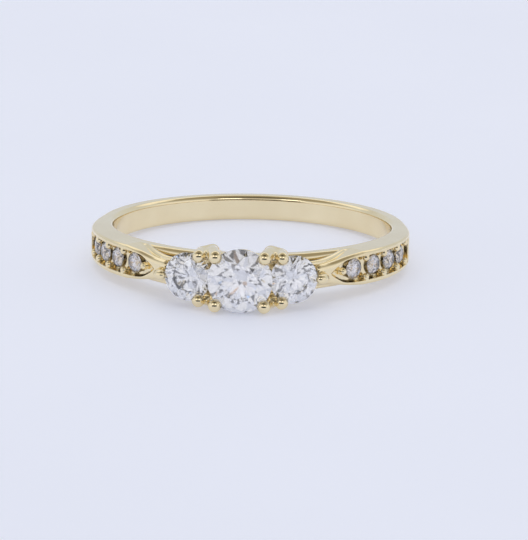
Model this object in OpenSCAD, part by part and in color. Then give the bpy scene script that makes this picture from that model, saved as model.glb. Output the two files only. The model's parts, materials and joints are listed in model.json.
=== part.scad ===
// Three stone ring with pave shoulders, lying on its side as it rests by itself.
// The ring is drawn upright about Z with its head toward -Y, then laid on its rest points.

/* [Band] */
// Diameter of the finger hole
bore_d = 17.9; // [15:0.1:21]
// Thickness of the band from the finger hole to its outer face
band_t = 1.04; // [0.9:0.02:1.5]
// Width of the band at the back of the finger
back_w = 1.67; // [1.4:0.01:2.2]
// Width of the finger rail under the stones
head_w = 2.1; // [2:0.01:2.6]
// Radius of the band's outer edges at the back
edge_r = 0.3; // [0.15:0.01:0.4]
// Radius that eases the edges of the finger hole
comfort_r = 0.32; // [0.2:0.01:0.4]

/* [Centre stone] */
// Diameter of the centre stone
centre_d = 4; // [3.4:0.05:4.6]
// Space between the centre stone's point and the finger rail
culet_gap = 0.84; // [0.6:0.02:1.4]

/* [Side stones] */
// Diameter of the side stones
side_d = 3; // [2.6:0.05:3.4]
// Lean of each side stone away from the centre stone, in degrees
side_lean = 15.6; // [10:0.2:22]
// Width of a side stone's inner edge that is tucked under the centre stone
side_tuck = 0.19; // [0:0.01:0.25]
// Drop of the side stones' girdles below the centre stone's girdle
side_drop = 0.89; // [0.8:0.01:1.2]

/* [Shoulders] */
// Diameter of the small shoulder stones
small_d = 1.3; // [1.1:0.02:1.4]
// Spacing of the small stones along the shoulder
small_pitch = 1.82; // [1.7:0.02:2]
// Distance from a shoulder's tip to its first small stone
small_start = 3.05; // [2.8:0.05:3.6]
// Lean of the small stones away from the head, past square to the finger hole, in degrees
small_lean = 7.5; // [4:0.5:10]
// Depth of the channel that the small stones sit in
channel_depth = 0.36; // [0.3:0.01:0.4]
// Gap between a small stone and the wall of its channel
channel_gap = 0.13; // [0.08:0.01:0.16]
// Drop of a shoulder's tip below the outer edge of its side stone
tip_drop = 0.5; // [0.4:0.02:0.7]
// Width that each side of a shoulder stands out past the plain band
shoulder_flare = 0.06; // [0:0.01:0.12]
// Radius of the shoulders' outer edges along the small stones
shoulder_edge_r = 0.16; // [0.1:0.01:0.3]
// Radius of the shoulders' outer edges at their tips
tip_edge_r = 0.38; // [0.2:0.01:0.45]
// Width of a shoulder at its tip
tip_w = 1.3; // [1.1:0.01:1.5]
// Thickness of a shoulder at its tip
tip_t = 1.1; // [0.8:0.02:1.4]
// Angle from the head at which a shoulder leaves the finger rail
split_a = 43; // [40:0.5:48]
// Diameter of the wires that run from the shoulders under the side stones
wire_d = 0.34; // [0.26:0.01:0.4]

/* [Claws] */
// Diameter of the centre stone's claw beads
claw_d = 0.84; // [0.7:0.01:1]
// Diameter of the side stones' inner claw beads
side_claw_d = 0.82; // [0.64:0.01:0.9]
// Diameter of the side stones' outer claws
tip_claw_d = 0.5; // [0.4:0.01:0.6]
// Height of the claw beads' middles over the girdles
claw_rise = 0.3; // [0.24:0.01:0.36]
// Diameter of the grains that hold the small stones
grain_d = 0.46; // [0.36:0.01:0.52]
// Diameter of the wire in the gallery ring under the centre stone
gallery_wire = 0.42; // [0.34:0.01:0.5]

/* [Stone cut] */
// Share of a stone's diameter that its table is wide
table_share = 0.57; // [0.5:0.01:0.62]
// Slope of the crown facets, in degrees
crown_a = 34.5; // [30:0.5:38]
// Slope of the pavilion facets, in degrees
pavilion_a = 40.9; // [39:0.1:43]
// Share of a stone's diameter that its girdle is thick
girdle_share = 0.025; // [0.015:0.005:0.04]
// Clearance between a stone and the metal that holds it
stone_gap = 0.025; // [0.015:0.005:0.04]

/* [Hidden] */

gold_colour = "#d9c58a";
stone_colour = "#e9edf5";
small_colour = "#cfc4c6";

// Band
bore_r = bore_d / 2;
band_r = bore_r + band_t;
station_a = 5;
station_n = 360 / station_a;
// The band is drawn a little into the finger hole, which then cuts it true
bore_allowance = 0.1;

// Stones: radius and the heights of crown and pavilion
centre_r = centre_d / 2;
side_r = side_d / 2;
small_r = small_d / 2;
function crown_h(r) = r * (1 - table_share) * tan(crown_a);
function pavilion_h(r) = r * tan(pavilion_a);
function girdle_h(r) = 2 * r * girdle_share;

// Girdle middles of the three main stones
centre_y = -(band_r + culet_gap + pavilion_h(centre_r) + girdle_h(centre_r) / 2);
side_x = centre_r + side_r * cos(side_lean) - side_tuck;
side_y = centre_y + side_drop;

// A point in a side stone's own plane: out along its lean, over its girdle, and across the ring
function side_point(out, over, z) =
    [side_x + out * cos(side_lean) + over * sin(side_lean),
     side_y + out * sin(side_lean) - over * cos(side_lean), z];

// Shoulders end where their claws meet the outer edges of the side stones, just short of the claws' middles
tip_short_a = 0.3;
tip_claw = side_point(side_r + tip_claw_d * 0.24, claw_rise * 0.85, 0);
tip_a = atan2(tip_claw.x, -tip_claw.y) + tip_short_a;
stone_edge = side_point(side_r, 0, 0);
tip_r = norm([stone_edge.x, stone_edge.y]) - tip_drop;
shoulder_end_a = 104;
arm_start_a = split_a + 11;
arm_inset = 0.015;
arm_under_edge = 0.15;
arm_edge_share = 0.7;
// The free end of a shoulder starts sunk this far into the rail
arm_sink = 0.3;

// Small stones: angles of the four in a shoulder, counted from the head
small_n = 4;
small_ref_r = band_r + (tip_r - band_r) / 2;
function small_a(i) = tip_a + (small_start + (i - 1) * small_pitch) / small_ref_r * 180 / PI;
pitch_a = small_a(2) - small_a(1);
// The channel's ends, as shares of the way to the shoulder's tip and of the stones' spacing
channel_tip_share = 0.68;
channel_end_share = 0.82;
channel_tip_a = small_a(1) - small_start * channel_tip_share / small_ref_r * 180 / PI;
channel_end_a = small_a(small_n) + pitch_a * channel_end_share;
channel_half_w = small_r + channel_gap;
// Cuts run on past the outer faces by this much
cut_over = 0.3;

// Claws: a bar of two knuckles carries one claw of the centre stone and one of a side stone
centre_claw_reach = centre_r + claw_d * 0.16;
side_claw_reach = side_r + side_claw_d * 0.13;
side_claw_a = 60;
centre_claw = [centre_claw_reach * cos(45), centre_y - claw_rise, centre_claw_reach * sin(45)];
side_claw = side_point(-side_claw_reach * cos(side_claw_a), claw_rise, side_claw_reach * sin(side_claw_a));
knuckle = [(centre_claw.x + side_claw.x) / 2 - claw_d * 0.3, side_y + claw_d * 0.8, centre_claw.z];
side_knuckle = [side_claw.x - claw_d * 0.13, knuckle.y + claw_d * 0.12, side_claw.z - claw_d * 0.08];
knuckle_d = claw_d * 1.02;
gallery_y = -(band_r + gallery_wire * 1.1);
gallery_r = centre_r * 0.66;

// Rest: the lower knuckles and the back of the band's lower edge touch the floor
rest_front = [knuckle.y, -knuckle.z, knuckle_d / 2];
rest_back = [band_r - edge_r, -(back_w / 2 - edge_r), edge_r];
rest_run = rest_back[0] - rest_front[0];
rest_rise = rest_front[1] - rest_back[1];
rest_a = asin((rest_front[2] - rest_back[2]) / norm([rest_run, rest_rise])) - atan2(rest_rise, rest_run);
rest_lift = rest_back[2] - rest_back[1] * cos(rest_a) + rest_back[0] * sin(rest_a);
// The origin lies under the middle of the ring's length
front_reach = centre_claw.y * cos(rest_a) - centre_claw.z * sin(rest_a) - claw_d / 2;
back_reach = rest_back[0] * cos(rest_a) - rest_back[1] * sin(rest_a) + edge_r;
rest_shift = -(front_reach + back_reach) / 2;

module laid() {
    translate([0, rest_shift, rest_lift]) rotate([-rest_a, 0, 0]) children();
}

// Smooth curve through a table of [place, value] rows in rising order of place
function row_slope(t, i) =
    let (n = len(t) - 1, a = max(i - 1, 0), b = min(i + 1, n))
    (t[b][1] - t[a][1]) / (t[b][0] - t[a][0]);
function row_of(t, x, i = 0) = i >= len(t) - 2 || x < t[i + 1][0] ? i : row_of(t, x, i + 1);
function curve(t, x) =
    x <= t[0][0] ? t[0][1] : x >= t[len(t) - 1][0] ? t[len(t) - 1][1] :
    let (i = row_of(t, x), w = t[i + 1][0] - t[i][0], u = (x - t[i][0]) / w)
    t[i][1] * (1 + 2 * u) * pow(1 - u, 2) + t[i + 1][1] * (3 - 2 * u) * u * u
    + w * row_slope(t, i) * u * pow(1 - u, 2) - w * row_slope(t, i + 1) * (1 - u) * u * u;

// Rise of the shoulder, as shares of its run to the tip and of its height there
shoulder_rise = [[0, 0], [0.09, 0.015], [0.17, 0.07], [0.36, 0.29], [0.55, 0.47], [0.67, 0.565], [0.8, 0.655],
    [0.92, 0.8], [1, 1]];
// Width of the shoulder over its last stretch: share of the run, share from band width to tip width
shoulder_taper = [[0.76, 0], [0.84, 0.3], [0.92, 0.78], [1, 1]];
// Flare of the shoulders: angle from the head, share of shoulder_flare
flare_shape = [[20, 0], [42, 1], [62, 1], [98, 0]];
// Outer edges: angle from the head, share from the shoulder's radius to the back's
back_edge_shape = [[70, 0], [100, 1]];
// Outer edges near a shoulder's tip: angle from the tip, share from the shoulder's radius to the tip's
tip_edge_shape = [[4, 1], [28, 0]];
// Underside of the shoulder's free end: share of the stretch, share of the space over the rail
arm_under = [[0, 0], [0.3, 0.12], [0.7, 0.6], [1, 1]];
// Width of the channel: share of its taper from the tip, share of its full width
channel_shape = [[0, 0.03], [0.25, 0.42], [0.6, 0.85], [1, 1]];
// Depth of the channel: share of its taper from the tip, share of its full depth
channel_floor = [[0, 0.1], [0.7, 1], [1, 1]];

function shoulder_run(a) = (shoulder_end_a - a) / (shoulder_end_a - tip_a);
function outer_r(a) = band_r + (tip_r - band_r) * curve(shoulder_rise, shoulder_run(a));
function half_w(a) =
    (back_w + (head_w - back_w) * (1 + cos(a)) / 2) / 2 + shoulder_flare * curve(flare_shape, a);
function outer_edge_r(a) = shoulder_edge_r + (edge_r - shoulder_edge_r) * curve(back_edge_shape, a)
    + (tip_edge_r - shoulder_edge_r) * curve(tip_edge_shape, a - tip_a);
function arm_half_w(a) =
    let (u = curve(shoulder_taper, shoulder_run(a)))
    half_w(a) * (1 - u) + tip_w / 2 * u - arm_inset;
function arm_inner_r(a) =
    let (u = curve(arm_under, (split_a - a) / (split_a - tip_a)))
    band_r - arm_sink + (tip_r - tip_t - band_r + arm_sink) * u;

// Half of a band section from the finger hole out to the outer face, as [radius, height]
corner_steps = [90, 60, 30, 0];
comfort_steps = [150, 115, 90];
function round_corner(outer, w, e) = [for (c = corner_steps) [outer - e + e * cos(c), w - e + e * sin(c)]];
function half_section(outer, w, e) = concat(
    [[bore_r - bore_allowance, w - comfort_r]],
    [for (c = comfort_steps) [bore_r + comfort_r + comfort_r * cos(c), w - comfort_r + comfort_r * sin(c)]],
    round_corner(outer, w, e));
function mirrored(half) =
    concat(half, [for (i = [len(half) - 1:-1:0]) [half[i][0], -half[i][1]]]);
function at_angle(a, section) = [for (p = section) [p[0] * sin(a), -p[0] * cos(a), p[1]]];

// Skin over a list of closed sections with equal numbers of points
module skin(sections, closed = false) {
    n = len(sections[0]);
    m = len(sections);
    last = closed ? m - 1 : m - 2;
    sides = [for (i = [0:last], j = [0:n - 1])
        let (k = (i + 1) % m, l = (j + 1) % n)
        each [[i * n + j, k * n + j, k * n + l], [i * n + j, k * n + l, i * n + l]]];
    caps = closed ? [] : [[for (j = [0:n - 1]) j], [for (j = [n - 1:-1:0]) (m - 1) * n + j]];
    polyhedron(points = [for (s = sections) each s], faces = concat(sides, caps), convexity = 6);
}

// Round wire through a smooth four-point curve, with a table of its radii and a round end if domed
dome_steps = [28, 54, 76];
function bezier(p, u) =
    pow(1 - u, 3) * p[0] + 3 * u * pow(1 - u, 2) * p[1] + 3 * u * u * (1 - u) * p[2] + pow(u, 3) * p[3];
function bezier_way(p, u) =
    3 * pow(1 - u, 2) * (p[1] - p[0]) + 6 * u * (1 - u) * (p[2] - p[1]) + 3 * u * u * (p[3] - p[2]);
function unit(v) = v / norm(v);
module wire(p, radii, rings = 7, sides = 10, domed = false) {
    tip = p[3];
    function frame(u) =
        let (way = unit(bezier_way(p, u)), across = unit(cross(way, [0, 0, 1])))
        [way, across, cross(way, across)];
    function loop_at(at, f, r) =
        [for (s = [0:sides - 1]) at + r * (cos(s * 360 / sides) * f[1] + sin(s * 360 / sides) * f[2])];
    end_r = radii[len(radii) - 1][1];
    skin(concat(
        [for (i = [0:rings - 1]) let (u = i / (rings - 1)) loop_at(bezier(p, u), frame(u), curve(radii, u))],
        domed ? [for (c = dome_steps) loop_at(tip + end_r * sin(c) * frame(1)[0], frame(1), end_r * cos(c))] : []));
}

// A round brilliant, table up, girdle about z = 0
module brilliant(r) {
    g = girdle_h(r) / 2;
    top = crown_h(r);
    deep = pavilion_h(r);
    star = 0.55;
    low = 0.77;
    half_step = 360 / 16;
    table_r = r * table_share;
    star_r = (r - star * (r - table_r)) / cos(half_step);
    low_r = r * (1 - low) / cos(half_step);
    function ring_of(n, radius, z, turn) =
        [for (i = [0:n - 1]) [radius * cos(i * 360 / n + turn), radius * sin(i * 360 / n + turn), z]];
    points = concat(
        ring_of(8, table_r, g + top, 0),
        ring_of(8, star_r, g + star * top, half_step),
        ring_of(16, r, g, 0),
        ring_of(16, r, -g, 0),
        ring_of(8, low_r, -g - low * deep, half_step),
        [[0, 0, -g - deep]]);
    table = [for (i = [7:-1:0]) i];
    facets = [for (i = [0:7])
        let (n = (i + 1) % 8, p = (i + 7) % 8, up = 16, dn = 32, lo = 48, culet = 56,
             a = 2 * i, b = 2 * i + 1, c = (2 * i + 2) % 16)
        each [
            [i, n, 8 + i],
            [i, 8 + i, up + a, 8 + p],
            [8 + i, up + b, up + a],
            [8 + i, up + c, up + b],
            [up + a, up + b, dn + b, dn + a],
            [up + b, up + c, dn + c, dn + b],
            [dn + a, dn + b, lo + i],
            [dn + b, dn + c, lo + i],
            [dn + a, lo + i, culet, lo + p]]];
    polyhedron(points = points, faces = concat([table], facets), convexity = 2);
}

// The round space that a stone fills, with its clearance
module stone_space(r) {
    g = girdle_h(r) / 2 + stone_gap;
    rotate_extrude($fn = 64)
        polygon([[0, -g - pavilion_h(r)], [r + stone_gap, -g], [r + stone_gap, g],
            [r * table_share + stone_gap, g + crown_h(r)],
            [r * table_share + stone_gap, g + crown_h(r) + cut_over], [0, g + crown_h(r) + cut_over]]);
}

module at_centre() {
    translate([0, centre_y, 0]) rotate([90, 0, 0]) children();
}
module at_side(s) {
    translate([s * side_x, side_y, 0]) rotate([0, 0, s * side_lean]) rotate([90, 0, 0]) children();
}
// A small stone's girdle lies level with the floor of its channel
function small_seat_r(i) = outer_r(small_a(i)) - channel_depth + girdle_h(small_r) / 2;
module at_small(s, i) {
    rotate([0, 0, s * small_a(i)]) translate([0, -small_seat_r(i), 0])
        rotate([90, 0, s * small_lean]) children();
}

// Metal pieces, all soldered into one
module band() {
    skin([for (i = [0:station_n - 1])
        let (a = -180 + (i + 0.5) * station_a, b = abs(a), r = b < split_a ? band_r : outer_r(b))
        at_angle(a, mirrored(half_section(r, half_w(b), min(outer_edge_r(b), edge_r))))], closed = true);
}

module arm(s) {
    steps = 12;
    skin([for (i = [0:steps])
        let (a = arm_start_a + (tip_a - arm_start_a) * i / steps, w = arm_half_w(a),
             lo = arm_inner_r(a), hi = outer_r(a) - arm_inset, e = min(outer_edge_r(a), w * arm_edge_share),
             half = concat([[lo, w - arm_under_edge], [lo + arm_under_edge, w]], round_corner(hi, w, e)),
             section = at_angle(s * a, mirrored(half)))
        s > 0 ? [for (j = [len(section) - 1:-1:0]) section[j]] : section]);
}

module channel(s) {
    steps = 18;
    taper_end_a = small_a(1) - pitch_a * 0.1;
    skin([for (i = [0:steps])
        let (a = channel_end_a + (channel_tip_a - channel_end_a) * i / steps,
             share = (a - channel_tip_a) / (taper_end_a - channel_tip_a),
             w = channel_half_w * curve(channel_shape, share),
             lo = outer_r(a) - channel_depth * curve(channel_floor, share), hi = outer_r(a) + cut_over,
             section = at_angle(s * a, [[lo, -w], [lo, w], [hi, w], [hi, -w]]))
        s > 0 ? [for (j = [3:-1:0]) section[j]] : section]);
}

module grain(s, a, z) {
    rotate([0, 0, s * a]) translate([0, -(outer_r(a) - grain_d * 0.42), z]) sphere(d = grain_d, $fn = 24);
}

module grains(s) {
    reach = channel_half_w - grain_d * 0.34;
    for (i = [1:small_n - 1], side = [-1, 1]) grain(s, (small_a(i) + small_a(i + 1)) / 2, side * reach);
    for (side = [-1, 1]) grain(s, small_a(small_n) + pitch_a * 0.5, side * reach);
    grain(s, small_a(1) - pitch_a * 0.56, 0);
}

module gallery() {
    translate([0, gallery_y, 0]) rotate([90, 0, 0])
        rotate_extrude($fn = 64) translate([gallery_r, 0]) circle(d = gallery_wire, $fn = 24);
}

// Paths of the claws and wires on the side where x and z are positive; their bends are shares of a diameter
function straight(a, b) = [a, (2 * a + b) / 3, (a + 2 * b) / 3, b];
stem_root = [gallery_r, -(bore_r + band_t / 2), half_w(0) - claw_d * 0.35];
stem_path = [stem_root, [stem_root.x, gallery_y - gallery_wire / 2, stem_root.z + claw_d * 0.3],
    knuckle + claw_d * [-0.12, 0.6, -0.4], knuckle];
centre_claw_path = [knuckle, knuckle + claw_d * [-0.04, -0.65, 0.03],
    centre_claw + claw_d * [0.1, 0.85, 0.1], centre_claw];
side_claw_path = [side_knuckle, side_knuckle + claw_d * [0.05, -0.5, 0.08],
    side_claw + claw_d * [0, 0.5, 0.05], side_claw];
claw_radii = [[0, 0.9], [0.4, 0.95], [0.75, 0.94], [1, 1]];
function sized(table, r) = [for (row = table) [row[0], row[1] * r]];
function flipped(path, s, up) = [for (p = path) [s * p.x, p.y, up * p.z]];

// A bar of two knuckles with its stem from the rail, its two claws and the web between them
module claw_pair(s, up) {
    web_end = (centre_claw + side_claw) / 2 + claw_d * [0, 1, -0.1];
    web = straight((knuckle + side_knuckle) / 2, web_end);
    for (k = [knuckle, side_knuckle]) translate([s * k.x, k.y, up * k.z]) sphere(d = knuckle_d, $fn = 12);
    bar = straight(knuckle, side_knuckle);
    wire(flipped(bar, s, up), sized([[0, 0.9], [1, 0.9]], knuckle_d / 2), rings = 3);
    wire(flipped(web, s, up), sized([[0, 1], [1, 0.85]], claw_d * 0.4), rings = 3, domed = true);
    wire(flipped(stem_path, s, up), sized([[0, 1], [1, 1]], claw_d * 0.46));
    wire(flipped(centre_claw_path, s, up), sized(claw_radii, claw_d / 2), domed = true);
    wire(flipped(side_claw_path, s, up), sized(claw_radii, side_claw_d / 2), domed = true);
}

// A thin wire from the side face of the band to a side stone's knuckle
module seat_wire(s, up) {
    start_a = split_a - 5.5;
    start_r = band_r - wire_d * 0.1;
    path = [[start_r * sin(start_a), -start_r * cos(start_a), half_w(start_a) - wire_d * 0.35],
        side_point(side_r * 1.5, -side_r * 0.84, side_r * 0.5),
        side_point(side_r * 0.64, -side_r * 0.18, side_r * 0.33),
        side_knuckle + claw_d * [0, 0.18, -0.18]];
    wire(flipped(path, s, up), sized([[0, 1], [1, 1]], wire_d / 2), rings = 12, sides = 8);
}

// The claw at a shoulder's tip, bent in over its side stone
module tip_claw_of(s) {
    root_r = tip_r - tip_t / 2;
    path = [[root_r * sin(tip_a + 2), -root_r * cos(tip_a + 2), 0],
        side_point(side_r + tip_claw_d * 0.9, -tip_claw_d * 0.7, 0),
        side_point(side_r + tip_claw_d, claw_rise * 0.5, 0), tip_claw];
    wire(flipped(path, s, 1), sized([[0, 1.15], [1, 1]], tip_claw_d / 2), domed = true);
}

module gold_mount() {
    color(gold_colour) laid() difference() {
        union() {
            difference() {
                union() {
                    band();
                    for (s = [-1, 1]) arm(s);
                }
                for (s = [-1, 1]) channel(s);
            }
            gallery();
            for (s = [-1, 1]) {
                grains(s);
                tip_claw_of(s);
                for (up = [-1, 1]) {
                    claw_pair(s, up);
                    seat_wire(s, up);
                }
            }
        }
        cylinder(r = bore_r, h = 2 * head_w, center = true, $fn = 128);
        at_centre() stone_space(centre_r);
        for (s = [-1, 1]) {
            at_side(s) stone_space(side_r);
            for (i = [1:small_n]) at_small(s, i) stone_space(small_r);
        }
    }
}

module centre_stone() {
    color(stone_colour) laid() at_centre() rotate([0, 0, 11.25]) brilliant(centre_r);
}
module side_stone(s) {
    color(stone_colour) laid() at_side(s) rotate([0, 0, 11.25]) brilliant(side_r);
}
module shoulder_stone(s, i) {
    color(small_colour) laid() at_small(s, i) brilliant(small_r);
}

gold_mount();
centre_stone();
side_stone(-1);  // side_stone_left
side_stone(1);  // side_stone_right
for (i = [1:small_n]) {
    shoulder_stone(-1, i);
    shoulder_stone(1, i);
}
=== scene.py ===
"""Looks of the three stone ring: a cast and polished gold mount, cut stones and a pale studio.

Sizes are millimetres in the ring's own frame unless a name says otherwise: the ring's middle is the origin,
its axis is Z and its head points to -Y. The frame's finger bore and stones say where that is. Angles are
degrees, and those round the ring count from the head.
"""
import itertools
import json
import math

import bmesh
import bpy
import numpy as np
from mathutils import Matrix, Vector


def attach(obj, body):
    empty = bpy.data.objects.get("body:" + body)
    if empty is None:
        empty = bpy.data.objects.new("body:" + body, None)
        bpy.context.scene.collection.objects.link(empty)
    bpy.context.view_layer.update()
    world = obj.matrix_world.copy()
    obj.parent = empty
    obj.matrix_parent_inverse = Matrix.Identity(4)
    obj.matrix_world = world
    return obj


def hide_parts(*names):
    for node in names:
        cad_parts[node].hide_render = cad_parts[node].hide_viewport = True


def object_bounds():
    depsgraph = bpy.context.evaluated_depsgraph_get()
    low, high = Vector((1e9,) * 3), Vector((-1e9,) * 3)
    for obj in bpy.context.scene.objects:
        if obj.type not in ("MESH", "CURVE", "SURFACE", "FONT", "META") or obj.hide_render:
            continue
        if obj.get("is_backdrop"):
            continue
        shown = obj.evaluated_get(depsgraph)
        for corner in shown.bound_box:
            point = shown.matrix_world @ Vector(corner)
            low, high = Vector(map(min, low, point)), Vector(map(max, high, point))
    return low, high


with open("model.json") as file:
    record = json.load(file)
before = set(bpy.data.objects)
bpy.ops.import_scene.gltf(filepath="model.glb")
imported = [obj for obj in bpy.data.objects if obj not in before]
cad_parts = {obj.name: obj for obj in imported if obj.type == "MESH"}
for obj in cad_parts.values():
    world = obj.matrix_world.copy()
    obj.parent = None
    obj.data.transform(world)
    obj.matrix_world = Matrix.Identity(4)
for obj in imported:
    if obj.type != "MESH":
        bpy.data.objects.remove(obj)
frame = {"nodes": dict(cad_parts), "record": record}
cad_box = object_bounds()

MM = 0.001

# The ring's own frame, from the finger bore
bore = frame["record"]["mounts"][0]
ring_at = np.array(bore["pos_m"]) / MM
ring_z = np.array(bore["axis"])
ring_x = np.array([1.0, 0.0, 0.0])
ring_y = np.cross(ring_z, ring_x)
RING_AXES = np.array([ring_x, ring_y, ring_z])

# Band; an outer corner takes at most a share of the half width
BORE_R = bore["dims"]["r_mm"]
BAND_T = 1.04
BAND_R = BORE_R + BAND_T
BACK_W = 1.67
HEAD_W = 2.1
EDGE_R = 0.3
COMFORT_R = 0.32
CORNER_SHARE = 0.7

# Shoulders; the arm is a shoulder's free end, from the split to the tip
SPLIT_A = 43
SHOULDER_END_A = 104
SHOULDER_FLARE = 0.06
SHOULDER_EDGE_R = 0.16
TIP_SHORT_A = 0.3
TIP_DROP = 0.5
TIP_W = 1.3
TIP_T = 1.1
TIP_EDGE_R = 0.38
ARM_EDGE_R = 0.16
ARM_SINK = 0.3
ARM_OVERLAP_A = 8

# Channels: the tip lies a share of the way from the first small stone to the shoulder's tip. Full width
# comes before that stone, and the end after the last one, by shares of the stones' pitch
CHANNEL_DEPTH = 0.36
CHANNEL_GAP = 0.13
FLOOR_DROP = 0.1
CHANNEL_TIP_SHARE = 0.68
CHANNEL_FULL_SHARE = 0.1
CHANNEL_END_SHARE = 0.82

# Grains: how far they lie inside the channel's wall and under its rim, in grain thicknesses, and how far
# the outermost two lie from the last and first small stone, in shares of the pitch
GRAIN_D = 0.48
GRAIN_INSET = 0.34
GRAIN_SINK = 0.42
LAST_GRAIN_SHARE = 0.5
FIRST_GRAIN_SHARE = 0.56

# Claws: their middles lie outside the girdles by shares of their thickness, and over them by a rise
CLAW_D = 0.84
SIDE_CLAW_D = 0.82
TIP_CLAW_D = 0.58
CLAW_OUT = 0.16
SIDE_CLAW_OUT = 0.13
TIP_CLAW_OUT = 0.24
CLAW_RISE = 0.3
TIP_CLAW_RISE_SHARE = 0.85

# Gallery ring: its radius in the centre stone's radii, and its distance from the rail in its own thicknesses
GALLERY_WIRE = 0.42
GALLERY_SHARE = 0.66
GALLERY_LIFT = 1.1

# Bends of the head's wires, as offsets along x, y and z in claw thicknesses; a stem's last two are along z
KNUCKLE_OFF = (-0.3, 0.8, 0)
SIDE_KNUCKLE_OFF = (-0.13, 0.12, -0.08)
STEM_TOP = (-0.12, 0.6, -0.4)
CENTRE_CLAW_FOOT = (-0.04, -0.65, 0.03)
CENTRE_CLAW_TOP = (0.1, 0.85, 0.1)
SIDE_CLAW_FOOT = (0.05, -0.5, 0.08)
SIDE_CLAW_TOP = (0, 0.5, 0.05)
WEB_TOP = (0, 0.85, -0.06)
SEAT_WIRE_TOP = (0, 0.18, -0.18)
STEM_INSET = 0.35
STEM_SPREAD = 0.3

# Radii of stems, and of the bars and webs between two claws, in claw thicknesses
STEM_SHARE = 0.46
BAR_SHARE = 0.44

# Outer claws: where they leave the shoulder, and their bends in their own thicknesses and in the claws' rise
TIP_CLAW_ROOT_A = 2
TIP_CLAW_BEND_OUT = 0.9
TIP_CLAW_BEND_DROP = 0.7
TIP_CLAW_BEND_RISE = 0.6

# Seat wires: how far before the split they start, how deep and how far in from the rail's edge in their own
# thicknesses, and their bends out, over and across from the side stone in its radii
WIRE_D = 0.34
WIRE_START_A = 5.5
WIRE_SINK = 0.1
WIRE_INSET = 0.35
WIRE_BENDS = [(1.5, -0.84, 0.5), (0.64, -0.18, 0.33)]

# Widths of the fillets where two forms meet
NO_FILLET = 0.001
SPLIT_FILLET = 0.13
TIP_FILLET = 0.3
GALLERY_FILLET = 0.08
GRAIN_FILLET = 0.08
TIP_CLAW_FILLET = 0.05
STEM_FILLET = 0.12
WEB_FILLET = 0.2
HEAD_FILLET = 0.1
WIRE_FILLET = 0.05
CHANNEL_RIM_FILLET = 0.05
CHANNEL_END_FILLET = 0.05
CHANNEL_FLOOR_FILLET = 0.2

# The split's fillet grows over a run, after a share of it
SPLIT_FILLET_RUN = 0.5
SPLIT_FILLET_LAG = 0.2

# Stone cut
TABLE_SHARE = 0.57
CROWN_A = 34.5
PAVILION_A = 40.9
GIRDLE_SHARE = 0.025
STAR_SHARE = 0.55
LOWER_SHARE = 0.77
STONE_GAP = 0.025


def to_ring(points_m):
    """Points of the row frame in metres, as millimetres in the ring's frame."""
    return (np.asarray(points_m) / MM - ring_at) @ RING_AXES.T


def to_row(points):
    """Points of the ring's frame in millimetres, as metres in the row frame."""
    return (points @ RING_AXES + ring_at) * MM


class Stone:
    """Where a CAD stone lies in the ring's frame.

    at is the middle of its girdle, way is the way that its table faces, and r is its radius.
    """
    RIM_SHARE = 0.98

    def __init__(self, node):
        self.node = node
        corners = np.unique(np.array([v.co for v in frame["nodes"][node].data.vertices]).round(8), axis=0)
        points = to_ring(corners)
        middle = points.mean(0)
        way = np.linalg.svd(points - middle)[2][2]
        along = (points - middle) @ way
        if along.max() > -along.min():
            way = -way
            along = -along
        out = np.linalg.norm(points - middle - np.outer(along, way), axis=1)
        self.way = way
        self.r = out.max()
        self.at = points[out > self.RIM_SHARE * self.r].mean(0)


SHOULDER_N = 4
centre = Stone("centre_stone")
sides = [Stone("side_stone_left"), Stone("side_stone_right")]
small = [Stone(f"shoulder_stone_{hand}_{i}") for hand in ("left", "right") for i in range(1, SHOULDER_N + 1)]
right_small = small[SHOULDER_N:]
side = sides[1]

# Places worked out from the stones, as in the CAD part; x and z are folded to their positive halves
lean = math.atan2(side.way[0], -side.way[1])


def side_point(out, over, z):
    """A point by the side stone: out along its girdle plane, over its girdle, and across the ring."""
    return np.array([side.at[0] + out * math.cos(lean) + over * math.sin(lean),
                     side.at[1] + out * math.sin(lean) - over * math.cos(lean), z])


def round_point(r, a, z):
    """A point at a radius and an angle round the ring."""
    t = math.radians(a)
    return [r * math.sin(t), -r * math.cos(t), z]


def claws(offset):
    """An offset that is given in claw thicknesses."""
    return CLAW_D * np.array(offset)


tip_claw = side_point(side.r + TIP_CLAW_D * TIP_CLAW_OUT, CLAW_RISE * TIP_CLAW_RISE_SHARE, 0)
stone_edge = side_point(side.r, 0, 0)
TIP_A = math.degrees(math.atan2(tip_claw[0], -tip_claw[1])) + TIP_SHORT_A
TIP_R = math.hypot(stone_edge[0], stone_edge[1]) - TIP_DROP
small_a = [math.degrees(math.atan2(s.at[0], -s.at[1])) for s in right_small]
small_r = right_small[0].r
pitch_a = small_a[1] - small_a[0]
channel_half_w = small_r + CHANNEL_GAP

# The centre stone's claws stand at the corners of a square, and a side stone's at 60 degrees from the row
centre_reach = (centre.r + CLAW_D * CLAW_OUT) * math.sqrt(0.5)
centre_claw = np.array([centre_reach, centre.at[1] - CLAW_RISE, centre_reach])
side_reach = side.r + SIDE_CLAW_D * SIDE_CLAW_OUT
side_claw = side_point(-side_reach * 0.5, CLAW_RISE, side_reach * math.sqrt(0.75))
knuckle = np.array([(centre_claw[0] + side_claw[0]) / 2, side.at[1], centre_claw[2]]) + claws(KNUCKLE_OFF)
side_knuckle = np.array([side_claw[0], knuckle[1], side_claw[2]]) + claws(SIDE_KNUCKLE_OFF)
gallery_r = centre.r * GALLERY_SHARE
gallery_y = -(BAND_R + GALLERY_WIRE * GALLERY_LIFT)

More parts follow.
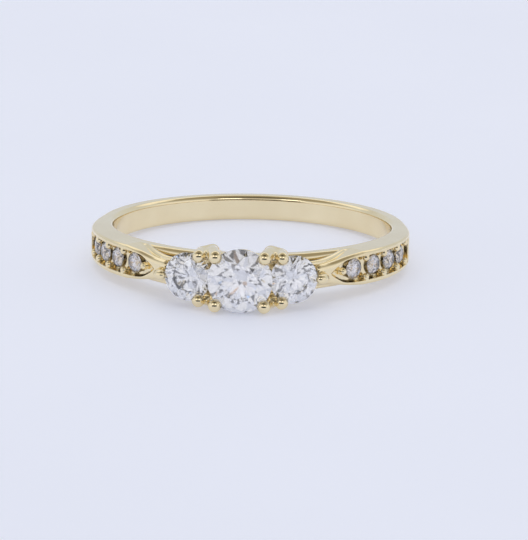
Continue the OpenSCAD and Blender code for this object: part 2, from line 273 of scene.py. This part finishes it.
# Shape tables: a share of the way along a shoulder, arm or channel, and of its height or width there
SHOULDER_RISE = [(0, 0), (0.09, 0.015), (0.17, 0.07), (0.36, 0.29), (0.55, 0.47), (0.67, 0.565), (0.8, 0.655),
                 (0.92, 0.8), (1, 1)]
SHOULDER_TAPER = [(0.76, 0), (0.84, 0.3), (0.92, 0.78), (1, 1)]
ARM_UNDER = [(0, 0), (0.3, 0.12), (0.7, 0.6), (1, 1)]
CHANNEL_SHAPE = [(0, 0.03), (0.25, 0.42), (0.6, 0.85), (1, 1)]
CHANNEL_FLOOR = [(0, 0.1), (0.7, 1), (1, 1)]

# Shape tables with an angle round the ring in place of the share
FLARE_SHAPE = [(20, 0), (42, 1), (62, 1), (98, 0)]
BACK_EDGE_SHAPE = [(70, 0), (100, 1)]
TIP_EDGE_SHAPE = [(TIP_A + 4, 1), (TIP_A + 28, 0)]

# Wires: a share of the way along them, and the share of their radius there
LEVEL = [(0, 1), (1, 1)]
CLAW_RADII = [(0, 0.92), (0.4, 0.95), (0.75, 0.94), (1, 1)]
STEM_RADII = [(0, 1), (1, 0.93)]
WEB_RADII = [(0, 1), (1, 0.85)]


def curve(rows, x):
    """Smooth curve through (place, value) rows, held level past both ends."""
    at, value = np.array(rows, float).T
    last = len(at) - 1
    ends = [(max(i - 1, 0), min(i + 1, last)) for i in range(last + 1)]
    slope = np.array([(value[b] - value[a]) / (at[b] - at[a]) for a, b in ends])
    x = np.clip(x, at[0], at[last])
    i = np.clip(np.searchsorted(at, x, side="right") - 1, 0, last - 1)
    width = at[i + 1] - at[i]
    u = (x - at[i]) / width
    v = 1 - u
    return (value[i] * (1 + 2 * u) * v * v + value[i + 1] * (3 - 2 * u) * u * u
            + width * u * v * (slope[i] * v - slope[i + 1] * u))


def shoulder_run(a):
    """Share of the way from a shoulder's end to its tip."""
    return (SHOULDER_END_A - a) / (SHOULDER_END_A - TIP_A)


def outer_r(a):
    return BAND_R + (TIP_R - BAND_R) * curve(SHOULDER_RISE, shoulder_run(a))


def half_w(a):
    plain = (BACK_W + (HEAD_W - BACK_W) * (1 + np.cos(np.radians(a))) / 2) / 2
    return plain + SHOULDER_FLARE * curve(FLARE_SHAPE, a)


def arm_half_w(a):
    u = curve(SHOULDER_TAPER, shoulder_run(a))
    return half_w(a) * (1 - u) + TIP_W / 2 * u


def arm_inner_r(a):
    low = BAND_R - ARM_SINK
    return low + (TIP_R - TIP_T - low) * curve(ARM_UNDER, (SPLIT_A - a) / (SPLIT_A - TIP_A))


# Distances to surfaces, negative inside, joined with fillets of a given width. Past NEAR from a piece, or
# STONE_NEAR from a stone, its distance makes no difference and counts as FAR
NEAR = 0.7
STONE_NEAR = 0.6
FAR = 9.0


def smooth_min(a, b, k):
    h = np.maximum(k - np.abs(a - b), 0) / k
    return np.minimum(a, b) - h * h * k / 4


def smooth_max(a, b, k):
    return -smooth_min(-a, -b, k)


def slab(u, v, half_u, half_v, corner):
    """Distance to a rectangle with round corners."""
    over_u = np.abs(u) - half_u + corner
    over_v = np.abs(v) - half_v + corner
    outside = np.hypot(np.maximum(over_u, 0), np.maximum(over_v, 0))
    return outside + np.minimum(np.maximum(over_u, over_v), 0) - corner


def bezier(p, n):
    """n + 1 points along a smooth four-point curve."""
    u = np.linspace(0, 1, n + 1)[:, None]
    p = np.asarray(p, float)
    return (1 - u) ** 3 * p[0] + 3 * u * (1 - u) ** 2 * p[1] + 3 * u * u * (1 - u) * p[2] + u ** 3 * p[3]


def straight(a, b):
    """A four-point curve that is a straight line."""
    return [a, (2 * a + b) / 3, (a + 2 * b) / 3, b]


def only_near(points, low, high, reach, distance):
    """distance(points) where points lie within reach of a box, and FAR elsewhere."""
    found = np.full(len(points), FAR)
    near = np.all((points > low - reach) & (points < high + reach), axis=1)
    if near.any():
        found[near] = distance(points[near])
    return found


class Wire:
    """A round wire through a four-point curve; its radius follows a table of shares of a radius."""

    def __init__(self, p, radii, radius, pieces=8):
        self.at = bezier(p, pieces)
        self.r = radius * curve(radii, np.linspace(0, 1, pieces + 1))

    def near(self, points):
        best = np.full(len(points), FAR)
        for a, b, r, s in zip(self.at, self.at[1:], self.r, self.r[1:]):
            way = b - a
            u = np.clip((points - a) @ way / (way @ way), 0, 1)
            best = np.minimum(best, np.linalg.norm(points - a - u[:, None] * way, axis=1) - r - u * (s - r))
        return best

    def distance(self, points):
        return only_near(points, self.at.min(0), self.at.max(0), NEAR + self.r.max(), self.near)


class Bead:
    """A ball."""

    def __init__(self, at, radius):
        self.at = np.asarray(at, float)
        self.r = radius

    def near(self, points):
        return np.linalg.norm(points - self.at, axis=1) - self.r

    def distance(self, points):
        return only_near(points, self.at, self.at, NEAR + self.r, self.near)


class Web:
    """Several wires joined to one another with a wide fillet."""

    def __init__(self, wires, fillet):
        self.wires = wires
        self.fillet = fillet

    def distance(self, points):
        found = self.wires[0].distance(points)
        for wire in self.wires[1:]:
            found = smooth_min(found, wire.distance(points), self.fillet)
        return found


def band_distance(points, a, r):
    """The band with its raised shoulders, and the rail that goes on under the head."""
    z = points[:, 2]
    along = (a - SPLIT_A) * np.radians(1) * r

    def body(low, high, half, corner_in):
        middle = (low + high) / 2
        corner = np.where(r > middle, np.minimum(edge, half * CORNER_SHARE), corner_in)
        return slab(r - middle, z, (high - low) / 2, half, corner)

    width = half_w(a)
    high = outer_r(a)
    edge = SHOULDER_EDGE_R + (EDGE_R - SHOULDER_EDGE_R) * curve(BACK_EDGE_SHAPE, a)
    edge = edge + (TIP_EDGE_R - SHOULDER_EDGE_R) * curve(TIP_EDGE_SHAPE, a)
    rail = body(BORE_R, BAND_R, width, COMFORT_R)
    shoulder = np.maximum(body(BORE_R, high, width, COMFORT_R), -along)
    arm = body(arm_inner_r(a), high, arm_half_w(a), ARM_EDGE_R)
    arm = np.maximum(arm, (a - SPLIT_A - ARM_OVERLAP_A) * np.radians(1) * r)
    arm = smooth_max(arm, (TIP_A - a) * np.radians(1) * r, TIP_FILLET)
    fillet = NO_FILLET + SPLIT_FILLET * np.clip(-along / SPLIT_FILLET_RUN - SPLIT_FILLET_LAG, 0, 1)
    return smooth_min(np.minimum(rail, shoulder), arm, fillet)


def channel_distance(points, a, r):
    """The sunk channel that a shoulder's small stones sit in."""
    tip = small_a[0] - CHANNEL_TIP_SHARE * (small_a[0] - TIP_A)
    taper_end = small_a[0] - pitch_a * CHANNEL_FULL_SHARE
    end = small_a[-1] + pitch_a * CHANNEL_END_SHARE
    half = channel_half_w * curve(CHANNEL_SHAPE, (a - tip) / (taper_end - tip))
    ends = np.maximum(tip - a, a - end) * np.radians(1) * r
    walls = smooth_max(np.abs(points[:, 2]) - half, ends, CHANNEL_END_FILLET)
    depth = (CHANNEL_DEPTH + FLOOR_DROP) * curve(CHANNEL_FLOOR, (a - tip) / (taper_end - tip))
    return smooth_max(walls, outer_r(a) - depth - r, CHANNEL_FLOOR_FILLET)


def gallery_distance(points):
    ring = np.hypot(np.hypot(points[:, 0], points[:, 2]) - gallery_r, points[:, 1] - gallery_y)
    return ring - GALLERY_WIRE / 2


def stone_space_distance(points, stone):
    """The space that a stone fills, with its clearance."""
    def near(q):
        q = q - stone.at
        up = q @ stone.way
        out = np.linalg.norm(q - np.outer(up, stone.way), axis=1)
        half = stone.r * GIRDLE_SHARE + STONE_GAP
        room = stone.r + STONE_GAP - out
        over = (up - half - room * math.tan(math.radians(CROWN_A))) * math.cos(math.radians(CROWN_A))
        under = (-up - half - room * math.tan(math.radians(PAVILION_A))) * math.cos(math.radians(PAVILION_A))
        return np.maximum(np.maximum(over, under), -room)
    return only_near(points, stone.at - stone.r, stone.at + stone.r, STONE_NEAR, near)


def grains():
    """The beads that hold the small stones: pairs between them, a last pair, and one in the channel's tip."""
    reach = channel_half_w - GRAIN_D * GRAIN_INSET
    places = [((a + b) / 2, reach) for a, b in zip(small_a, small_a[1:])]
    places.append((small_a[-1] + pitch_a * LAST_GRAIN_SHARE, reach))
    places.append((small_a[0] - pitch_a * FIRST_GRAIN_SHARE, 0))
    return [Bead(round_point(outer_r(a) - GRAIN_D * GRAIN_SINK, a, z), GRAIN_D / 2) for a, z in places]


def outer_claw():
    """The claw that leaves a shoulder's tip and bends over the side stone."""
    root = round_point(TIP_R - TIP_T * 0.5, TIP_A + TIP_CLAW_ROOT_A, 0)
    low_bend = side_point(side.r + TIP_CLAW_D * TIP_CLAW_BEND_OUT, -TIP_CLAW_D * TIP_CLAW_BEND_DROP, 0)
    high_bend = side_point(side.r + TIP_CLAW_D, CLAW_RISE * TIP_CLAW_BEND_RISE, 0)
    return Wire([root, low_bend, high_bend, tip_claw], LEVEL, TIP_CLAW_D / 2)


def stem():
    """The wire from the rail up to a knuckle."""
    root = np.array([gallery_r, -(BORE_R + BAND_T / 2), half_w(0) - CLAW_D * STEM_INSET])
    bend = [root[0], gallery_y - GALLERY_WIRE / 2, root[2] + CLAW_D * STEM_SPREAD]
    return Wire([root, bend, knuckle + claws(STEM_TOP), knuckle], STEM_RADII, CLAW_D * STEM_SHARE)


def claw_pair():
    """A centre claw and a side claw on the bar between their knuckles, with a web in their fork."""
    to_centre = [knuckle, knuckle + claws(CENTRE_CLAW_FOOT),
                 centre_claw + claws(CENTRE_CLAW_TOP), centre_claw]
    to_side = [side_knuckle, side_knuckle + claws(SIDE_CLAW_FOOT),
               side_claw + claws(SIDE_CLAW_TOP), side_claw]
    web = straight((knuckle + side_knuckle) / 2, (centre_claw + side_claw) / 2 + claws(WEB_TOP))
    return Web([Wire(straight(knuckle, side_knuckle), LEVEL, CLAW_D * BAR_SHARE, pieces=3),
                Wire(web, WEB_RADII, CLAW_D * BAR_SHARE, pieces=4),
                Wire(to_centre, CLAW_RADII, CLAW_D / 2),
                Wire(to_side, CLAW_RADII, SIDE_CLAW_D / 2)], WEB_FILLET)


def seat_wire():
    """The thin wire from the rail under the side stone to its knuckle."""
    start_a = SPLIT_A - WIRE_START_A
    start = round_point(BAND_R - WIRE_D * WIRE_SINK, start_a, half_w(start_a) - WIRE_D * WIRE_INSET)
    bends = [side_point(*(side.r * share for share in bend)) for bend in WIRE_BENDS]
    return Wire([start, *bends, side_knuckle + claws(SEAT_WIRE_TOP)], LEVEL, WIRE_D / 2, pieces=14)


# What is soldered to the band, each with the width of its fillet
MOUNT_PARTS = [(grain, GRAIN_FILLET) for grain in grains()]
MOUNT_PARTS += [(outer_claw(), TIP_CLAW_FILLET), (stem(), STEM_FILLET), (claw_pair(), HEAD_FILLET),
                (seat_wire(), WIRE_FILLET)]


def mount_distance(points):
    """Distance to the whole mount, worked out in one quarter of it and mirrored."""
    p = np.abs(points)
    p[:, 1] = points[:, 1]
    a = np.degrees(np.arctan2(p[:, 0], -p[:, 1]))
    r = np.hypot(p[:, 0], p[:, 1])
    found = band_distance(p, a, r)
    found = smooth_max(found, -channel_distance(p, a, r), CHANNEL_RIM_FILLET)
    found = smooth_min(found, gallery_distance(p), GALLERY_FILLET)
    for part, fillet in MOUNT_PARTS:
        found = smooth_min(found, part.distance(p), fillet)
    found = np.maximum(found, BORE_R - r)
    for stone in [centre, side, *right_small]:
        found = np.maximum(found, -stone_space_distance(p, stone))
    return found


# Mesh of a distance's zero surface: the grid is filled in blocks, those near the surface point by point
GRID_BLOCK = 4
NEAR_BLOCKS = 1.5
MOUNT_PITCH = 0.05
MOUNT_TRIANGLES = 190000
# Room that the grid leaves beside the band, before the head, and above and below
SIDE_ROOM = 0.3
HEAD_ROOM = 1.0
LEVEL_ROOM = 0.4
# Settling: the step that slopes are measured over, as a share of the pitch, and the farthest move in steps
SETTLE_STEP = 0.1
SETTLE_REACH = 4
SETTLE_ROUNDS = 3
LEAST_SLOPE = 0.5
TINY = 1e-9


def sampled(distance, low, shape, pitch):
    """The distance on a grid, exact near the surface and right in sign elsewhere."""
    blocks = np.array(shape) // GRID_BLOCK
    middles = (np.indices(blocks).reshape(3, -1).T + 0.5) * GRID_BLOCK - 0.5
    coarse = distance(low + middles * pitch).reshape(blocks)
    values = coarse.astype(np.float32)
    for axis in range(3):
        values = np.repeat(values, GRID_BLOCK, axis)
    active = np.argwhere(np.abs(coarse) < GRID_BLOCK * pitch * NEAR_BLOCKS)
    step = np.indices((GRID_BLOCK,) * 3).reshape(3, -1).T
    index = (active[:, None] * GRID_BLOCK + step).reshape(-1, 3)
    values[tuple(index.T)] = distance(low + index * pitch)
    return values


def surface_net(values, low, pitch):
    """Vertices and four-sided faces of the zero surface: one vertex in each grid cell that it crosses."""
    inside = values < 0
    size = [n - 1 for n in values.shape]
    count = np.zeros(size, np.int8)
    for c in itertools.product((0, 1), repeat=3):
        count += inside[tuple(slice(i, i + n) for i, n in zip(c, size))]
    cell = (count > 0) & (count < 8)
    index = np.argwhere(cell)
    number = np.full(size, -1, np.int32)
    number[cell] = np.arange(len(index))
    total = np.zeros((len(index), 3))
    crossings = np.zeros(len(index))
    for axis in range(3):
        step = np.eye(3, dtype=int)[axis]
        for c in itertools.product((0, 1), repeat=2):
            start = index + np.insert(c, axis, 0)
            v0 = values[tuple(start.T)].astype(float)
            v1 = values[tuple((start + step).T)].astype(float)
            cross = (v0 < 0) != (v1 < 0)
            t = (v0 / np.where(cross, v0 - v1, 1))[cross]
            total[cross] += start[cross] + t[:, None] * step
            crossings[cross] += 1
    vertices = low + pitch * total / crossings[:, None]

    faces = []
    for axis in range(3):
        u, v = [np.eye(3, dtype=int)[(axis + k) % 3] for k in (1, 2)]
        d = np.eye(3, dtype=int)[axis]
        first = tuple(slice(1, n - 1) for n in values.shape)
        second = tuple(slice(1 + k, n - 1 + k) for n, k in zip(values.shape, d))
        for way in (True, False):
            at = np.argwhere((inside[first] == way) & (inside[second] != way)) + 1
            ring = [at, at - u, at - u - v, at - v]
            if not way:
                ring.reverse()
            faces.append(np.stack([number[tuple(q.T)] for q in ring], 1))
    return vertices, np.concatenate(faces)


def settle(distance, points, step):
    """Points moved onto the zero surface, and the surface's normals there."""
    for _ in range(SETTLE_ROUNDS):
        value = distance(points)
        rises = [distance(points + e) - distance(points - e) for e in np.eye(3) * step]
        slope = np.stack(rises, 1) / (2 * step)
        steep = np.maximum((slope ** 2).sum(1), LEAST_SLOPE ** 2)
        move = -(value / steep)[:, None] * slope
        points = points + np.clip(move, -step * SETTLE_REACH, step * SETTLE_REACH)
    normals = slope / np.maximum(np.linalg.norm(slope, axis=1), TINY)[:, None]
    return points, normals


def new_object(name, mesh, material):
    """An object of a mesh, linked to the scene, with its material."""
    made = bpy.data.objects.new(name, mesh)
    bpy.context.scene.collection.objects.link(made)
    mesh.materials.append(material)
    return made


def decimate(made, triangles):
    """Brings the object's mesh down to a number of triangles, where the surface needs them least."""
    change = made.modifiers.new("fewer", "DECIMATE")
    change.ratio = triangles / (2 * len(made.data.polygons))
    evaluated = made.evaluated_get(bpy.context.evaluated_depsgraph_get())
    mesh = bpy.data.meshes.new_from_object(evaluated)
    made.modifiers.clear()
    made.data = mesh


def build_mount(material, pitch):
    reach = BAND_R + SIDE_ROOM
    low = np.array([-reach, centre.at[1] - HEAD_ROOM, -HEAD_W - LEVEL_ROOM])
    high = np.array([reach, reach, HEAD_W + LEVEL_ROOM])
    shape = [int(math.ceil(n / GRID_BLOCK)) * GRID_BLOCK for n in (high - low) / pitch]
    vertices, faces = surface_net(sampled(mount_distance, low, shape, pitch), low, pitch)
    net = bpy.data.meshes.new("mount")
    net.from_pydata(to_row(vertices), [], faces)
    net.update()
    made = new_object("mount", net, material)
    if 2 * len(faces) > MOUNT_TRIANGLES:
        decimate(made, MOUNT_TRIANGLES)
    mesh = made.data
    flat = np.empty(len(mesh.vertices) * 3)
    mesh.vertices.foreach_get("co", flat)
    points, normals = settle(mount_distance, to_ring(flat.reshape(-1, 3)), pitch * SETTLE_STEP)
    mesh.vertices.foreach_set("co", to_row(points).ravel())
    mesh.shade_smooth()
    mesh.normals_split_custom_set_from_vertices(normals @ RING_AXES)
    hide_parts("gold_mount")
    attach(made, "root")


# Sides of a brilliant's girdle, and its turn about its own axis. A point this near to a cut, as a share of
# the radius, counts as on it
CUT_TOLERANCE = 1e-5
GIRDLE_N = 64
SMALL_GIRDLE_N = 32
STONE_TURN_A = 11.25
SMALL_TURN_A = 0


def brilliant_planes(r):
    """A point and an outward way for each facet of a round brilliant: 33 on the crown and 24 below."""
    g = r * GIRDLE_SHARE
    top = g + r * (1 - TABLE_SHARE) * math.tan(math.radians(CROWN_A))
    deep = g + r * math.tan(math.radians(PAVILION_A))
    table_r = r * TABLE_SHARE
    star_r = (r - STAR_SHARE * (r - table_r)) / math.cos(math.pi / 8)
    star_z = g + STAR_SHARE * (top - g)
    low_r = r * (1 - LOWER_SHARE) / math.cos(math.pi / 8)
    low_z = -g - LOWER_SHARE * (deep - g)

    def around(radius, sixteenths, z):
        t = sixteenths * math.pi / 8
        return Vector((radius * math.cos(t), radius * math.sin(t), z))

    planes = [(Vector((0, 0, top)), Vector((0, 0, 1)))]
    for i in range(8):
        k = 2 * i
        rows = [
            (around(table_r, k, top), around(table_r, k + 2, top), around(star_r, k + 1, star_z)),
            (around(star_r, k - 1, star_z), around(r, k, g), around(star_r, k + 1, star_z)),
            (around(star_r, k + 1, star_z), around(r, k, g), around(r, k + 1, g)),
            (around(star_r, k + 1, star_z), around(r, k + 1, g), around(r, k + 2, g)),
            (around(low_r, k - 1, low_z), around(r, k, -g), around(low_r, k + 1, low_z)),
            (around(low_r, k + 1, low_z), around(r, k, -g), around(r, k + 1, -g)),
            (around(low_r, k + 1, low_z), around(r, k + 1, -g), around(r, k + 2, -g)),
        ]
        for a, b, c in rows:
            way = (b - a).cross(c - a).normalized()
            planes.append((a, way if way.dot(a) > 0 else -way))
    return planes


def cut_brilliant(r, girdle_n):
    """A disc cut down by the facets' planes."""
    bm = bmesh.new()
    bmesh.ops.create_cone(bm, cap_ends=True, segments=girdle_n, radius1=r, radius2=r, depth=4 * r)
    for at, way in brilliant_planes(r):
        cut = bmesh.ops.bisect_plane(bm, geom=bm.verts[:] + bm.edges[:] + bm.faces[:], dist=r * CUT_TOLERANCE,
                                     plane_co=at, plane_no=way, clear_outer=True)
        edges = [e for e in cut["geom_cut"] if isinstance(e, bmesh.types.BMEdge) and e.is_boundary]
        if edges:
            bmesh.ops.contextual_create(bm, geom=edges)
    bmesh.ops.recalc_face_normals(bm, faces=bm.faces)
    return bm


def stone_place(stone, turn_a):
    """The matrix that takes a brilliant in millimetres to its stone's place in the row frame."""
    across = Vector(RING_AXES[2])
    up = Vector(stone.way @ RING_AXES)
    x = across.cross(up).normalized()
    y = up.cross(x)
    place = Matrix((x, y, up)).transposed().to_4x4() @ Matrix.Rotation(math.radians(turn_a), 4, "Z")
    return Matrix.Translation(Vector(to_row(stone.at))) @ place @ Matrix.Scale(MM, 4)


def add_stone(name, stone, material, girdle_n, turn_a):
    bm = cut_brilliant(stone.r, girdle_n)
    bm.transform(stone_place(stone, turn_a))
    mesh = bpy.data.meshes.new(name)
    bm.to_mesh(mesh)
    bm.free()
    made = new_object(name, mesh, material)
    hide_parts(stone.node)
    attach(made, "root")


# Materials: the colours and the roughnesses that clouds of a size in millimetres vary between
GOLD_TINTS = ((0.91, 0.77, 0.49), (0.95, 0.82, 0.54))
GOLD_GLOSS = (0.08, 0.16)
GOLD_CLOUD_MM = 2.5
GOLD_GLOSS_MM = 0.35
CLEAR_TINTS = ((0.98, 0.98, 1.0), (1.0, 1.0, 1.0))
CLEAR_GLOSS = (0, 0.01)
SMALL_TINTS = ((0.93, 0.89, 0.91), (0.99, 0.96, 0.95))
SMALL_GLOSS = (0, 0.02)
STONE_CLOUD_MM = 0.6
STONE_GLOSS_MM = 0.2
STONE_IOR = 2.4
FLOOR_TINTS = ((0.72, 0.74, 0.80), (0.74, 0.76, 0.82))
FLOOR_CLOUD_MM = 40
FLOOR_GLOW = (0.74, 0.77, 0.92)
# Waves left by polishing, then fine scuffs: size and height
GOLD_BUMPS_MM = ((1.2, 0.006), (0.12, 0.0006))
# The stretch of a noise that is spread over a range of numbers, or between two colours
NUMBER_STRETCH = (0.3, 0.7)
TINT_STRETCH = (0.35, 0.65)


def new_material(name):
    made = bpy.data.materials.new(name)
    made.use_nodes = True
    return made, made.node_tree, made.node_tree.nodes["Principled BSDF"]


def cloudy(tree, size_mm):
    """Noise with lumps of about a size in millimetres, from 0 to 1."""
    coords = tree.nodes.new("ShaderNodeTexCoord")
    noise = tree.nodes.new("ShaderNodeTexNoise")
    noise.inputs["Scale"].default_value = 1 / (size_mm * MM)
    tree.links.new(coords.outputs["Object"], noise.inputs["Vector"])
    return noise.outputs["Fac"]


def ranged(tree, value, socket, low, high):
    """A noise spread over a range of numbers, into a socket."""
    node = tree.nodes.new("ShaderNodeMapRange")
    for name, v in zip(("From Min", "From Max", "To Min", "To Max"), (*NUMBER_STRETCH, low, high)):
        node.inputs[name].default_value = v
    tree.links.new(value, node.inputs["Value"])
    tree.links.new(node.outputs[0], socket)


def tinted(tree, value, socket, low, high):
    """A noise spread between two colours, into a socket."""
    node = tree.nodes.new("ShaderNodeValToRGB")
    for element, at, colour in zip(node.color_ramp.elements, TINT_STRETCH, (low, high)):
        element.position = at
        element.color = (*colour, 1)
    tree.links.new(value, node.inputs["Fac"])
    tree.links.new(node.outputs["Color"], socket)


def gold_material():
    """Polished gold: soft waves from hand polishing, fine scuffs and a slightly uneven gloss."""
    made, tree, shader = new_material("polished_gold")
    shader.inputs["Metallic"].default_value = 1
    tinted(tree, cloudy(tree, GOLD_CLOUD_MM), shader.inputs["Base Color"], *GOLD_TINTS)
    ranged(tree, cloudy(tree, GOLD_GLOSS_MM), shader.inputs["Roughness"], *GOLD_GLOSS)
    normal = None
    for size_mm, height_mm in GOLD_BUMPS_MM:
        bump = tree.nodes.new("ShaderNodeBump")
        bump.inputs["Distance"].default_value = height_mm * MM
        tree.links.new(cloudy(tree, size_mm), bump.inputs["Height"])
        if normal:
            tree.links.new(normal, bump.inputs["Normal"])
        normal = bump.outputs["Normal"]
    tree.links.new(normal, shader.inputs["Normal"])
    return made


def stone_material(name, tints, gloss, clarity):
    """A cut stone; its clouds tint it between two colours and its polish between two roughnesses."""
    made, tree, shader = new_material(name)
    shader.inputs["IOR"].default_value = STONE_IOR
    shader.inputs["Transmission Weight"].default_value = clarity
    tinted(tree, cloudy(tree, STONE_CLOUD_MM), shader.inputs["Base Color"], *tints)
    ranged(tree, cloudy(tree, STONE_GLOSS_MM), shader.inputs["Roughness"], *gloss)
    return made


def floor_material():
    """A matt pale surface with a faint glow of its own, which keeps its shadows soft."""
    made, tree, shader = new_material("pale_floor")
    tinted(tree, cloudy(tree, FLOOR_CLOUD_MM), shader.inputs["Base Color"], *FLOOR_TINTS)
    shader.inputs["Roughness"].default_value = 0.6
    shader.inputs["Emission Color"].default_value = (*FLOOR_GLOW, 1)
    shader.inputs["Emission Strength"].default_value = 0.35
    return made


# The pieces
gold = gold_material()
clear = stone_material("clear_stone", CLEAR_TINTS, CLEAR_GLOSS, clarity=0.96)
misty = stone_material("small_stone", SMALL_TINTS, SMALL_GLOSS, clarity=0.97)

build_mount(gold, MOUNT_PITCH)
add_stone("centre_brilliant", centre, clear, GIRDLE_N, STONE_TURN_A)
for hand, stone in zip(("left", "right"), sides):
    add_stone(f"side_brilliant_{hand}", stone, clear, GIRDLE_N, STONE_TURN_A)
for stone in small:
    name = stone.node.replace("stone", "brilliant")
    add_stone(name, stone, misty, SMALL_GIRDLE_N, SMALL_TURN_A)

# Floor
FLOOR_M = 4
bpy.ops.mesh.primitive_plane_add(size=FLOOR_M)
floor = bpy.context.object
floor.name = "floor"
floor.data.materials.append(floor_material())
floor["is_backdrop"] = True

# Camera: the photograph's angle to the ring, and its framing. The last two values say how far the ring's
# middle lies left of and above the picture's middle
VIEW_D = 216.5
VIEW_ELEVATION = 12.5
VIEW_YAW = 3.155
VIEW_ROLL = -0.916
CLIP_NEAR_M = 0.01
CLIP_FAR_M = 10
PHOTO_H = 540
FOCAL_PX = 3342
RING_LEFT_PX = 12.07
RING_UP_PX = 33.2


def in_row(way):
    """A way in the ring's frame, in the row frame."""
    return Vector(np.array(way) @ RING_AXES)


def make_camera():
    e, w = math.radians(VIEW_ELEVATION), math.radians(VIEW_YAW)
    back = in_row([math.sin(w) * math.cos(e), -math.cos(w) * math.cos(e), math.sin(e)])
    right = (-back).cross(in_row([0, 0, 1])).normalized()
    up = right.cross(-back)
    roll = math.radians(VIEW_ROLL)
    right_rolled = right * math.cos(roll) - up * math.sin(roll)
    up_rolled = right * math.sin(roll) + up * math.cos(roll)
    per_px = VIEW_D * MM / FOCAL_PX
    middle = Vector(to_row(np.zeros(3)))
    eye = middle + back * VIEW_D * MM
    target = middle + right_rolled * RING_LEFT_PX * per_px - up_rolled * RING_UP_PX * per_px
    z = (eye - target).normalized()
    x = up_rolled.cross(z).normalized()
    y = z.cross(x)
    data = bpy.data.cameras.new("camera")
    data.lens = FOCAL_PX / PHOTO_H * data.sensor_width
    data.clip_start = CLIP_NEAR_M
    data.clip_end = CLIP_FAR_M
    made = bpy.data.objects.new("camera", data)
    made.matrix_world = Matrix.Translation(eye) @ Matrix((x, y, z)).transposed().to_4x4()
    bpy.context.scene.collection.objects.link(made)
    bpy.context.scene.camera = made


make_camera()


# Light: a pale studio all round, darker overhead, with bright and dark cards that metal and stones mirror
FRONT_LIGHT = (0.86, 0.87, 0.93)
BACK_LIGHT = (0.65, 0.69, 0.77)
TOP_LIGHT = (0.34, 0.31, 0.25)
# The front's light turns to the back's over a stretch of y, and to the top's over some elevations
BACK_TURN = (-0.2, 0.4)
TOP_TURN_A = (22, 55)
# azimuth from the camera's side, elevation, half width, half height, soft edge (degrees), brightness
CARDS = [
    (180, 43, 60, 6, 8, 1.0),
    (0, 72, 60, 8, 5, 0.06),
    (25, 36, 9, 6, 4, 1.8),
    (-35, 38, 9, 6, 4, 1.8),
    (0, 11, 38, 10, 4, 0.02),
]
# What the light inside the stones meets: brighter all round, with dark cards, the first edged in colour
GEM_LIGHT = (0.94, 0.945, 1.0)
GEM_CARDS = [
    (0, 20, 12, 12, 1, (1.25, 0.9, 0.65)),
    (3, 21, 12, 12, 1, (0.6, 0.85, 1.35)),
    (1.5, 20.5, 12, 12, 1, (0.18, 0.18, 0.2)),
    (-58, 34, 6, 24, 1, (0.25, 0.25, 0.27)),
    (50, 34, 6, 24, 1, (0.25, 0.25, 0.27)),
]
# What lights the floor: mostly from overhead, so that the ring's shadow lies close to it
LOW_SKY = (0.34, 0.35, 0.37)
HIGH_SKY = (1.12, 1.12, 1.15)
SKY_TURN_A = (35, 75)


def make_world():
    made = bpy.data.worlds.new("studio")
    bpy.context.scene.world = made
    made.use_nodes = True
    nodes, links = made.node_tree.nodes, made.node_tree.links

    def put(socket, value):
        if isinstance(value, bpy.types.NodeSocket):
            links.new(value, socket)
        else:
            socket.default_value = value

    def maths(kind, *values):
        node = nodes.new("ShaderNodeMath")
        node.operation = kind
        for socket, value in zip(node.inputs, values):
            put(socket, value)
        return node.outputs[0]

    def smooth(value, low, high):
        node = nodes.new("ShaderNodeMapRange")
        node.interpolation_type = "SMOOTHSTEP"
        for name, v in (("Value", value), ("From Min", low), ("From Max", high)):
            put(node.inputs[name], v)
        return node.outputs[0]

    def mixed(share, a, b):
        node = nodes.new("ShaderNodeMix")
        node.data_type = "RGBA"
        first, second = [socket for socket in node.inputs if socket.type == "RGBA"]
        put(node.inputs["Factor"], share)
        put(first, a)
        put(second, b)
        return next(socket for socket in node.outputs if socket.type == "RGBA")

    way = nodes.new("ShaderNodeSeparateXYZ")
    links.new(nodes.new("ShaderNodeTexCoord").outputs["Generated"], way.inputs[0])
    x, y, z = way.outputs
    elevation = maths("ARCSINE", z)
    azimuth = maths("ARCTAN2", x, maths("MULTIPLY", y, -1.0))

    def turned(angles, low, high):
        """One light below a pair of elevations and another above them."""
        return mixed(smooth(elevation, *(math.radians(a) for a in angles)), low, high)

    def with_cards(light, cards):
        for at, up, half_width, half_height, edge, bright in cards:
            a, e, wide, high, soft = (math.radians(v) for v in (at, up, half_width, half_height, edge))
            off = maths("ABSOLUTE", maths("SUBTRACT", azimuth, a))
            off = maths("MINIMUM", off, maths("ABSOLUTE", maths("SUBTRACT", off, 2 * math.pi)))
            outside = maths("MAXIMUM", maths("SUBTRACT", off, wide),
                            maths("SUBTRACT", maths("ABSOLUTE", maths("SUBTRACT", elevation, e)), high))
            colour = bright if isinstance(bright, tuple) else (bright, bright, bright)
            light = mixed(smooth(outside, 0.0, soft), (*colour, 1), light)
        return light

    room = mixed(smooth(y, *BACK_TURN), (*FRONT_LIGHT, 1), (*BACK_LIGHT, 1))
    room = with_cards(turned(TOP_TURN_A, room, (*TOP_LIGHT, 1)), CARDS)
    gem_room = with_cards((*GEM_LIGHT, 1), GEM_CARDS)
    sky = turned(SKY_TURN_A, (*LOW_SKY, 1), (*HIGH_SKY, 1))
    path = nodes.new("ShaderNodeLightPath").outputs
    light = mixed(path["Is Transmission Ray"], room, gem_room)
    light = mixed(path["Is Diffuse Ray"], light, sky)
    links.new(light, nodes["Background"].inputs["Color"])


make_world()

bpy.context.scene.view_settings.view_transform = "Standard"

shown_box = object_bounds()
[[list(corner) for corner in box] for box in (cad_box, shown_box)]
